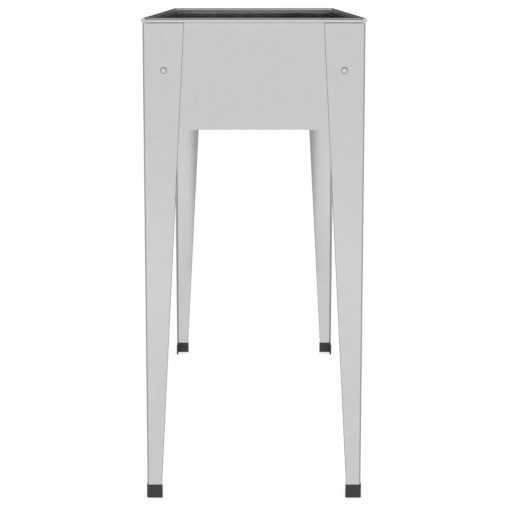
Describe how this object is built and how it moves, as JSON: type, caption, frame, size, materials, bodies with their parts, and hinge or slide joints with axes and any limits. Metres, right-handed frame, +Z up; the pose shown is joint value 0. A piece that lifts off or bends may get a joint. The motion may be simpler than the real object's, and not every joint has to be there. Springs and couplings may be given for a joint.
{
  "type": "raised planter",
  "caption": "Raised metal planter: a rectangular sheet-steel trough with rolled rims, held at working height by tapered corner angle legs with plastic foot caps.",
  "frame": {"origin": "on the floor, under the middle of the planter", "axes": "+Z up, +Y along the trough towards its rear end, +X across the trough"},
  "size_m": [0.362, 1, 0.8],
  "materials": {
    "galvanised_sheet": "bright galvanised, satin",
    "foot_plastic": "black moulded plastic",
    "plated_fastener": "bright zinc plate"
  },
  "bodies": {
    "root": {"front_end_panel": "galvanised_sheet", "rear_end_panel": "galvanised_sheet", "left_side_panel": "galvanised_sheet", "right_side_panel": "galvanised_sheet", "base_pan": "galvanised_sheet", "base_stiffener_front": "galvanised_sheet", "base_stiffener_middle": "galvanised_sheet", "base_stiffener_rear": "galvanised_sheet", "front_left_leg": "galvanised_sheet", "front_right_leg": "galvanised_sheet", "rear_left_leg": "galvanised_sheet", "rear_right_leg": "galvanised_sheet", "front_left_foot_cap": "foot_plastic", "front_right_foot_cap": "foot_plastic", "rear_left_foot_cap": "foot_plastic", "rear_right_foot_cap": "foot_plastic", "leg_bolts": "plated_fastener", "leg_washers": "plated_fastener", "leg_nuts": "plated_fastener", "stiffener_rivets": "plated_fastener"}
  },
  "joints": []
}
